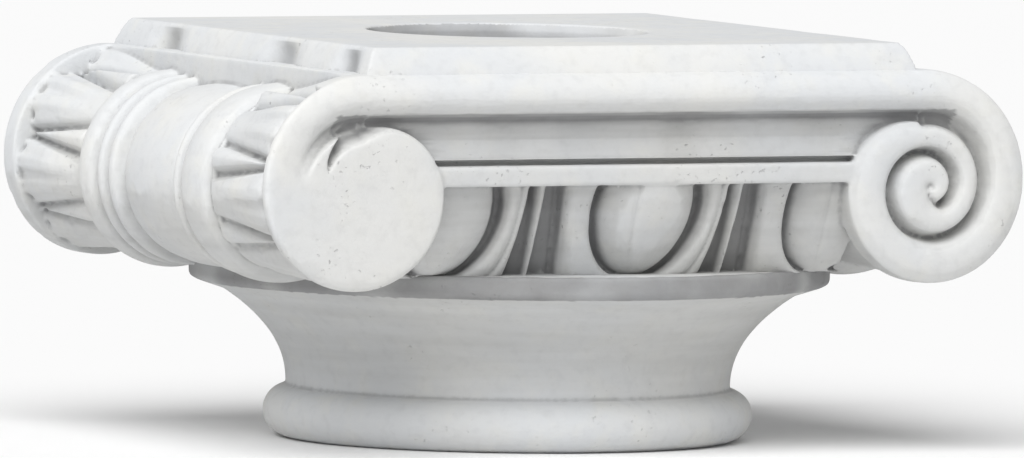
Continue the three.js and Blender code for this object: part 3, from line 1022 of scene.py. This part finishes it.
def sheltered(pieces):
    """Stores on each point the share of slanting rays from above that stone blocks."""
    whole = bmesh.new()
    for piece in pieces:
        whole.from_mesh(piece.data)
    tree = BVHTree.FromBMesh(whole)
    whole.free()
    rays = [Vector((math.cos(a) * s, math.sin(a) * s, 1)).normalized() for s, a in RAIN_SLANTS]
    for piece in pieces:
        shares = []
        for vertex in piece.data.vertices:
            start = vertex.co + vertex.normal * RAY_LIFT
            blocked = sum(1 for ray in rays if tree.ray_cast(start, ray, RAY_LENGTH)[0] is not None)
            shares.append(blocked / len(rays))
        shelter = piece.data.attributes.new("shelter", "FLOAT", "POINT")
        shelter.data.foreach_set("value", shares)
        print(piece.name, "mean shelter", round(sum(shares) / len(shares), 3))


sheltered([carved, turned, abacus_slab])

# %% Paint shade into the recess, the hollows, the egg row, the channel and the edge of the disc
# strengths of painted shade and painted shadow in these places
RECESS_SHADOW = 0.62
DISC_EDGE_SHADOW = 0.75
SIDE_HOLLOW_SHADE = 0.5
CHANNEL_SHADE = 0.24
UNDER_ROLL_SHADOW = 0.3
SHADE_PATCH = 26 * MM
EGG_GROOVE_SHADE = 0.85
DEEP_START = 11 * MM
DEEP_FULL = 19 * MM


def shade_painted(piece, where, amount):
    """Adds painted shade to the hollow value where a rule on the points says so, in uneven patches."""
    places = point_array(piece.data)
    values = np.empty(len(places))
    hollow = piece.data.attributes["hollow"]
    hollow.data.foreach_get("value", values)
    patches = 0.55 + 0.9 * stone_noise(places, SHADE_PATCH, 21)
    values = np.clip(np.maximum(values, 0) + where(places) * amount * patches, 0, 1)
    hollow.data.foreach_set("value", values)
    print(piece.name, "soiled points:", int((where(places) > 0.5).sum()))


def inside_recess(places):
    from_middle = np.hypot(places[:, 0] - RECESS_OFFSET, places[:, 1])
    inside = (from_middle < RECESS_RADIUS + 1 * MM) & (places[:, 2] > CAPITAL_HEIGHT - RECESS_DEPTH - 1 * MM)
    # painted shadow inside the recess, stronger towards its left side
    return inside * np.clip(0.8 - places[:, 0] / (0.25), 0.45, 1.2)


def inside_side_hollow(places):
    # painted shade in the soft hollows on the abacus's left and right sides
    near_side = np.abs(places[:, 0]) > ABACUS_HALF - HOLLOW_DEPTH - 3 * MM
    between = (places[:, 2] > ABACUS_BOTTOM + 2 * MM) & (places[:, 2] < CAPITAL_HEIGHT - 3 * MM)
    return near_side * between * (side_hollow(places[:, 1]) / HOLLOW_DEPTH) ** 1.5


def between_eggs(places):
    """Painted shade in the deep parts of the egg row, measured back from the crests of the eggs."""
    share = np.clip((places[:, 2] - FILLET_TOP) / ECHINUS_HEIGHT, 0, 1)
    crest = ECHINUS_PROJECTION - ECHINUS_LEAN * (1 - share) ** 1.3
    crest = crest - places[:, 0] ** 2 / (2 * ECHINUS_FRONT_RADIUS)
    in_row = (np.abs(places[:, 0]) < ROW_REACH) & (places[:, 2] > FILLET_TOP) & (places[:, 2] < ECHINUS_TOP)
    deep = np.clip((crest - np.abs(places[:, 1]) - DEEP_START) / (DEEP_FULL - DEEP_START), 0, 1)
    return in_row * deep


def in_channel(places):
    """The hollow channel, with painted shadow that is darker close under the roll."""
    behind = (np.abs(places[:, 1]) < FACE_DEPTH - 4 * MM) & (np.abs(places[:, 1]) > FACE_DEPTH - 20 * MM)
    between = (places[:, 2] > CHANNEL_BOTTOM) & (places[:, 2] < ROLL_BOTTOM + 3 * MM)
    along = np.abs(places[:, 0]) < EYE_OFFSET + 20 * MM
    near_roll = np.clip((places[:, 2] - ROLL_BOTTOM + 12 * MM) / (12 * MM), 0, 1)
    return behind * between * along * (CHANNEL_SHADE + UNDER_ROLL_SHADOW * near_roll)


def disc_edge_band(places):
    # painted shadow on the edge of the disc, under the eggs
    return (places[:, 2] > FILLET_BOTTOM) & (np.hypot(places[:, 0], places[:, 1]) > FILLET_RADIUS - 6 * MM)


# painted shadow in the recess and painted shade in the side hollows, on the disc's edge, between the eggs and
# in the channel
shade_painted(abacus_slab, inside_recess, RECESS_SHADOW)
shade_painted(abacus_slab, inside_side_hollow, SIDE_HOLLOW_SHADE)
shade_painted(turned, disc_edge_band, DISC_EDGE_SHADOW)
shade_painted(carved, between_eggs, EGG_GROOVE_SHADE)
shade_painted(carved, in_channel, 1.0)

# %% [markdown]
# The finish of the stone
#
# The stone is pale and matt: light grey with faint warm and cool clouds, with painted shade in the
# hollows and under overhangs, fine grain, scattered pits and level streaks on the turned neck. The
# clouds, grain, pits and streaks are noise on the object's own coordinates, so they run through the
# block as they do in real stone.

# %% Shader helpers
class Value:
    """Wraps a socket, so that shader maths reads as maths."""

    def __init__(self, finish, socket):
        self.finish = finish
        self.socket = socket

    def with_other(self, operation, first, second):
        made = self.finish.node("ShaderNodeMath", {"operation": operation}, i0=first, i1=second)
        return Value(self.finish, made.outputs[0])

    def __add__(self, other):
        return self.with_other("ADD", self, other)

    __radd__ = __add__

    def __sub__(self, other):
        return self.with_other("SUBTRACT", self, other)

    def __rsub__(self, other):
        return self.with_other("SUBTRACT", other, self)

    def __mul__(self, other):
        return self.with_other("MULTIPLY", self, other)

    __rmul__ = __mul__

    def between(self, start, end):
        """Nought below start, one above end, smooth between."""
        made = self.finish.node("ShaderNodeMapRange", {"interpolation_type": "SMOOTHSTEP"}, i0=self.socket,
                                i1=start, i2=end, i3=0.0, i4=1.0)
        return Value(self.finish, made.outputs[0])


def plain_socket(value):
    return value.socket if isinstance(value, Value) else value


class Finish:
    """Material with a Principled surface, built by one node method."""

    def __init__(self, material):
        material.use_nodes = True
        self.tree = material.node_tree
        self.tree.nodes.clear()
        self.shader = self.node("ShaderNodeBsdfPrincipled")
        self.node("ShaderNodeOutputMaterial", Surface=self.shader.outputs[0])
        self.place = self.node("ShaderNodeTexCoord").outputs["Object"]

    def node(self, kind, settings=None, **sockets):
        sockets = {label: plain_socket(value) for label, value in sockets.items()}
        return add_node(self.tree, kind, settings, sockets)

    def noise(self, scale, detail=3.0, stretch=(1, 1, 1)):
        place = self.node("ShaderNodeMapping", Vector=self.place, Scale=stretch).outputs[0]
        made = self.node("ShaderNodeTexNoise", Vector=place, Scale=scale, Detail=detail)
        return Value(self, made.outputs[0])

    def mixed(self, share, first, second):
        made = self.node("ShaderNodeMix", {"data_type": "RGBA"}, i0=share, i6=first, i7=second)
        return made.outputs[2]

    def feed(self, **sockets):
        for label, value in sockets.items():
            self.tree.links.new(plain_socket(value), self.shader.inputs[label.replace("_", " ")])


# %% Weathered stone
PALE = (0.76, 0.76, 0.745, 1)
COOL = (0.70, 0.715, 0.73, 1)
WARM = (0.77, 0.765, 0.725, 1)
# dark colour for painted shade in creases and hollows, also used for pits and mottle
DARK_SHADE_AND_PITS = (0.16, 0.16, 0.165, 1)
# grey for painted shade under overhangs
OVERHANG_SHADE_GREY = (0.42, 0.42, 0.41, 1)


def weathered_stone(material):
    finish = Finish(material)
    hollow = Value(finish, finish.node("ShaderNodeAttribute", {"attribute_name": "hollow"}).outputs["Fac"])
    shelter = Value(finish, finish.node("ShaderNodeAttribute", {"attribute_name": "shelter"}).outputs["Fac"])
    clouds = finish.noise(7.0, 4.0)
    blotches = finish.noise(42.0, 5.0)
    grain = finish.noise(420.0, 2.0)
    streaks = finish.noise(9.0, 4.0, (1, 1, 14))
    mottle = finish.noise(130.0, 4.0)
    pits = finish.noise(300.0, 3.0).between(0.64, 0.74) * finish.noise(21.0, 2.0).between(0.5, 0.7)
    colour = finish.mixed(clouds.between(0.40, 0.70), COOL, PALE)
    colour = finish.mixed(blotches.between(0.45, 0.75) * 0.5, colour, WARM)
    height = Value(finish, finish.node("ShaderNodeSeparateXYZ", Vector=finish.place).outputs[2])
    # painted shade under overhangs, from the share of blocked rays, weaker near the bottom
    overhang_shade = shelter.between(0.15, 1.0) * (0.35 + 0.45 * streaks) * (0.15 + 0.85 * height.between(0.02, 0.07))
    colour = finish.mixed(overhang_shade, colour, OVERHANG_SHADE_GREY)
    # painted shade in creases, hollows and the marked places, darkest where the hollow value is high
    crease_shade = hollow.between(0.05, 0.8) * (0.65 + 0.35 * blotches)
    colour = finish.mixed(crease_shade * 0.85, colour, DARK_SHADE_AND_PITS)
    colour = finish.mixed(mottle.between(0.45, 0.8) * 0.08 + pits * 0.3, colour, DARK_SHADE_AND_PITS)
    rise = grain * 0.3 + blotches * 0.6 + streaks * 0.2 - pits
    relief = finish.node("ShaderNodeBump", Strength=0.7, Distance=0.001, Height=rise).outputs[0]
    finish.shader.inputs["Specular IOR Level"].default_value = 0.3
    finish.feed(Base_Color=colour, Roughness=0.82 + 0.14 * grain - 0.06 * clouds, Normal=relief)
    return material


weathered_stone(stone)
for piece in (carved, turned, abacus_slab):
    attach(piece, "root")
    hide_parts("capital")

# %% [markdown]
# Floor, light and camera
#
# The stone stands on a pale floor so wide that its edge stays out of the picture from any side.
# One large soft light comes from above on the left, and the white surroundings fill the shade.
# The camera is far off with a long lens, because the level lines of the stone hardly converge.

# %% Floor
FLOOR_REACH = 90.0


def wide_floor():
    corners = [(-1, -1), (1, -1), (1, 1), (-1, 1)]
    mesh = bpy.data.meshes.new("floor")
    mesh.from_pydata([(x * FLOOR_REACH, y * FLOOR_REACH, 0.0) for x, y in corners], [], [(0, 1, 2, 3)])
    floor = link_mesh("floor", mesh)
    paper = bpy.data.materials.new("pale floor")
    finish = Finish(paper)
    finish.shader.inputs["Base Color"].default_value = (0.97, 0.97, 0.97, 1)
    finish.shader.inputs["Roughness"].default_value = 0.9
    mesh.materials.append(paper)
    return floor


wide_floor()

# %% Light
sun = bpy.data.lights.new("overhead", "SUN")
sun.energy = 2.8
sun.angle = math.radians(55)
overhead = bpy.data.objects.new("overhead", sun)
bpy.context.scene.collection.objects.link(overhead)
overhead.rotation_euler = Vector((0.50, 0.60, -1.0)).to_track_quat("-Z", "Y").to_euler()

world = bpy.data.worlds.new("studio")
world.use_nodes = True
world.node_tree.nodes["Background"].inputs["Color"].default_value = (1, 1, 1, 1)
world.node_tree.nodes["Background"].inputs["Strength"].default_value = 0.33
bpy.context.scene.world = world
bpy.context.scene.view_settings.view_transform = "Standard"

# %% Camera
VIEW_TURN = math.radians(25.6)
VIEW_TILT = math.radians(3.45)
VIEW_ROLL = math.radians(0.85)
VIEW_DISTANCE = 14.0
VIEW_WIDTH = 701.4 * MM
SENSOR_WIDTH = 36.0
AIM_HEIGHT = 150.7 * MM
AIM_RIGHT = 1.3 * MM
AIM_DOWN = 7.6 * MM


def long_camera():
    across = Vector((math.cos(VIEW_TURN), -math.sin(VIEW_TURN), 0))
    ahead = Vector((math.sin(VIEW_TURN) * math.cos(VIEW_TILT), math.cos(VIEW_TURN) * math.cos(VIEW_TILT),
                    -math.sin(VIEW_TILT)))
    upward = across.cross(ahead)
    right = across * math.cos(VIEW_ROLL) + upward * math.sin(VIEW_ROLL)
    up = upward * math.cos(VIEW_ROLL) - across * math.sin(VIEW_ROLL)
    place = Vector((0, 0, AIM_HEIGHT)) + right * AIM_RIGHT - up * AIM_DOWN - ahead * VIEW_DISTANCE
    data = bpy.data.cameras.new("camera")
    data.sensor_width = SENSOR_WIDTH
    data.lens = SENSOR_WIDTH * VIEW_DISTANCE / VIEW_WIDTH
    data.clip_end = 60
    camera = bpy.data.objects.new("camera", data)
    bpy.context.scene.collection.objects.link(camera)
    turn = Matrix((right, up, -ahead)).transposed()
    camera.matrix_world = Matrix.Translation(place) @ turn.to_4x4()
    bpy.context.scene.camera = camera
    return camera


long_camera()
